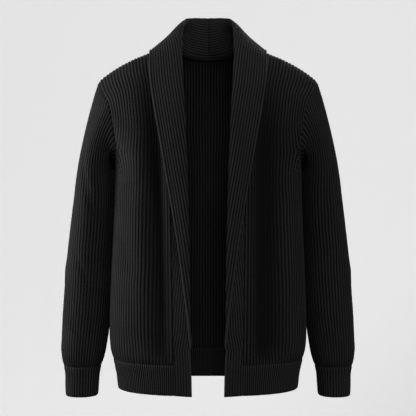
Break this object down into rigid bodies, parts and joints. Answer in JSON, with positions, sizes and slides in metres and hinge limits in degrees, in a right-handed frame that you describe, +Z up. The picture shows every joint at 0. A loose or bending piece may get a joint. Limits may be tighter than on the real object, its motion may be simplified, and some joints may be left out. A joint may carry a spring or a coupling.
{
  "type": "knit blazer",
  "caption": "Open-front rib-knit blazer with a shawl collar that rolls on into the front bands, set-in long sleeves, ribbed cuffs and hem band.",
  "frame": {"origin": "on the wearer's middle plane, level with where the shoulder seams meet the neck edge: the point that the garment hangs from when it is worn", "axes": "+Z up, +X to the wearer's left, the open front faces -Y"},
  "size_m": [0.5976, 0.2501, 0.7821],
  "materials": {
    "rib_knit": "matte charcoal rib knit",
    "band_rib_knit": "matte charcoal fine rib knit",
    "collar_rib_knit": "matte charcoal rib knit",
    "tape": "matte black plain tape"
  },
  "bodies": {
    "root": {"front_left": "rib_knit", "front_right": "rib_knit", "back": "rib_knit", "hem_left": "band_rib_knit", "hem_right": "band_rib_knit", "hem_back": "band_rib_knit", "sleeve_left": "rib_knit", "sleeve_right": "rib_knit", "cuff_left": "band_rib_knit", "cuff_right": "band_rib_knit", "collar_left": "collar_rib_knit", "collar_right": "collar_rib_knit", "neck_tape": "tape"}
  },
  "joints": []
}
